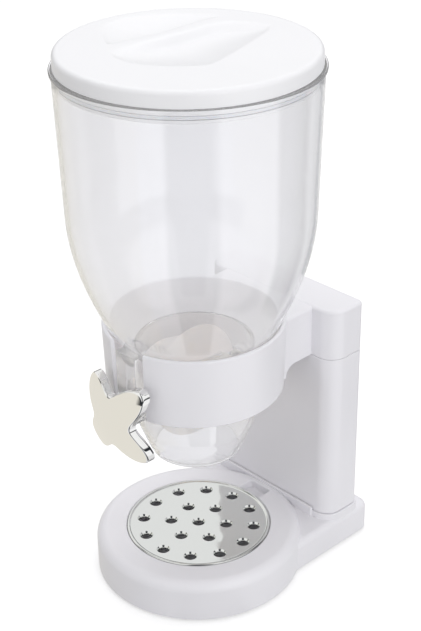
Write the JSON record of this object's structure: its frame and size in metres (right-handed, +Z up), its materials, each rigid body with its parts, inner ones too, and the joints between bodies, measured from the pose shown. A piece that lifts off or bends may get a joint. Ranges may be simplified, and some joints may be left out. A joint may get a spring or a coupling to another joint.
{
  "type": "cereal dispenser",
  "caption": "Countertop dry-food dispenser: clear funnel hopper with lift-off lid, held in a collar on a post over a drip-tray base, emptied by a silicone paddle wheel with a star knob.",
  "frame": {"origin": "centre of the bounding box's underside, on the surface the feet stand on", "axes": "+Z up; the knob faces -Y and the post stands at +Y; +X is to the right seen from the front"},
  "size_m": [0.175, 0.205, 0.3945],
  "materials": {
    "white_abs": "satin moulded white plastic",
    "clear_styrene": "clear moulded plastic",
    "chrome_plate": "bright chrome",
    "cream_silicone": "translucent cream silicone",
    "natural_acetal": "natural acetal",
    "grey_rubber": "dark grey rubber",
    "zinc_steel": "zinc-plated steel"
  },
  "bodies": {
    "stand": {"base_shell": "white_abs", "base_cover": "white_abs", "foot_1": "grey_rubber", "foot_2": "grey_rubber", "foot_3": "grey_rubber", "foot_4": "grey_rubber", "cover_screw_1": "zinc_steel", "cover_screw_2": "zinc_steel", "cover_screw_3": "zinc_steel", "cover_screw_4": "zinc_steel", "post_screw_1": "zinc_steel", "post_screw_2": "zinc_steel", "post_screw_3": "zinc_steel", "post_screw_4": "zinc_steel", "lower_post": "white_abs", "bracket_screw_1": "zinc_steel", "bracket_screw_2": "zinc_steel", "upper_bracket": "white_abs"},
    "tray": {"crumb_tray": "chrome_plate"},
    "hopper": {"canister": "clear_styrene", "front_bush": "natural_acetal", "rear_bush": "natural_acetal"},
    "lid": {"lid": "white_abs", "lid_seal": "cream_silicone"},
    "wheel": {"knob_shell": "chrome_plate", "knob_hub": "white_abs", "drive_shaft": "natural_acetal", "wheel_core": "natural_acetal", "vane_1": "cream_silicone", "vane_2": "cream_silicone", "vane_3": "cream_silicone", "vane_4": "cream_silicone", "vane_5": "cream_silicone", "vane_6": "cream_silicone"}
  },
  "joints": [
    {"name": "tray_lift", "type": "slide", "parent": "stand", "child": "tray", "axis": [0, 0, 1], "range_m": [0, 0.03]},
    {"name": "hopper_lift", "type": "slide", "parent": "stand", "child": "hopper", "axis": [0, 0, 1], "range_m": [0, 0.11]},
    {"name": "lid_lift", "type": "slide", "parent": "hopper", "child": "lid", "axis": [0, 0, 1], "range_m": [0, 0.04]},
    {"name": "wheel_turn", "type": "hinge", "parent": "hopper", "child": "wheel", "pos_m": [0, -0.015, 0.1536], "axis": [0, -1, 0], "continuous": true}
  ]
}
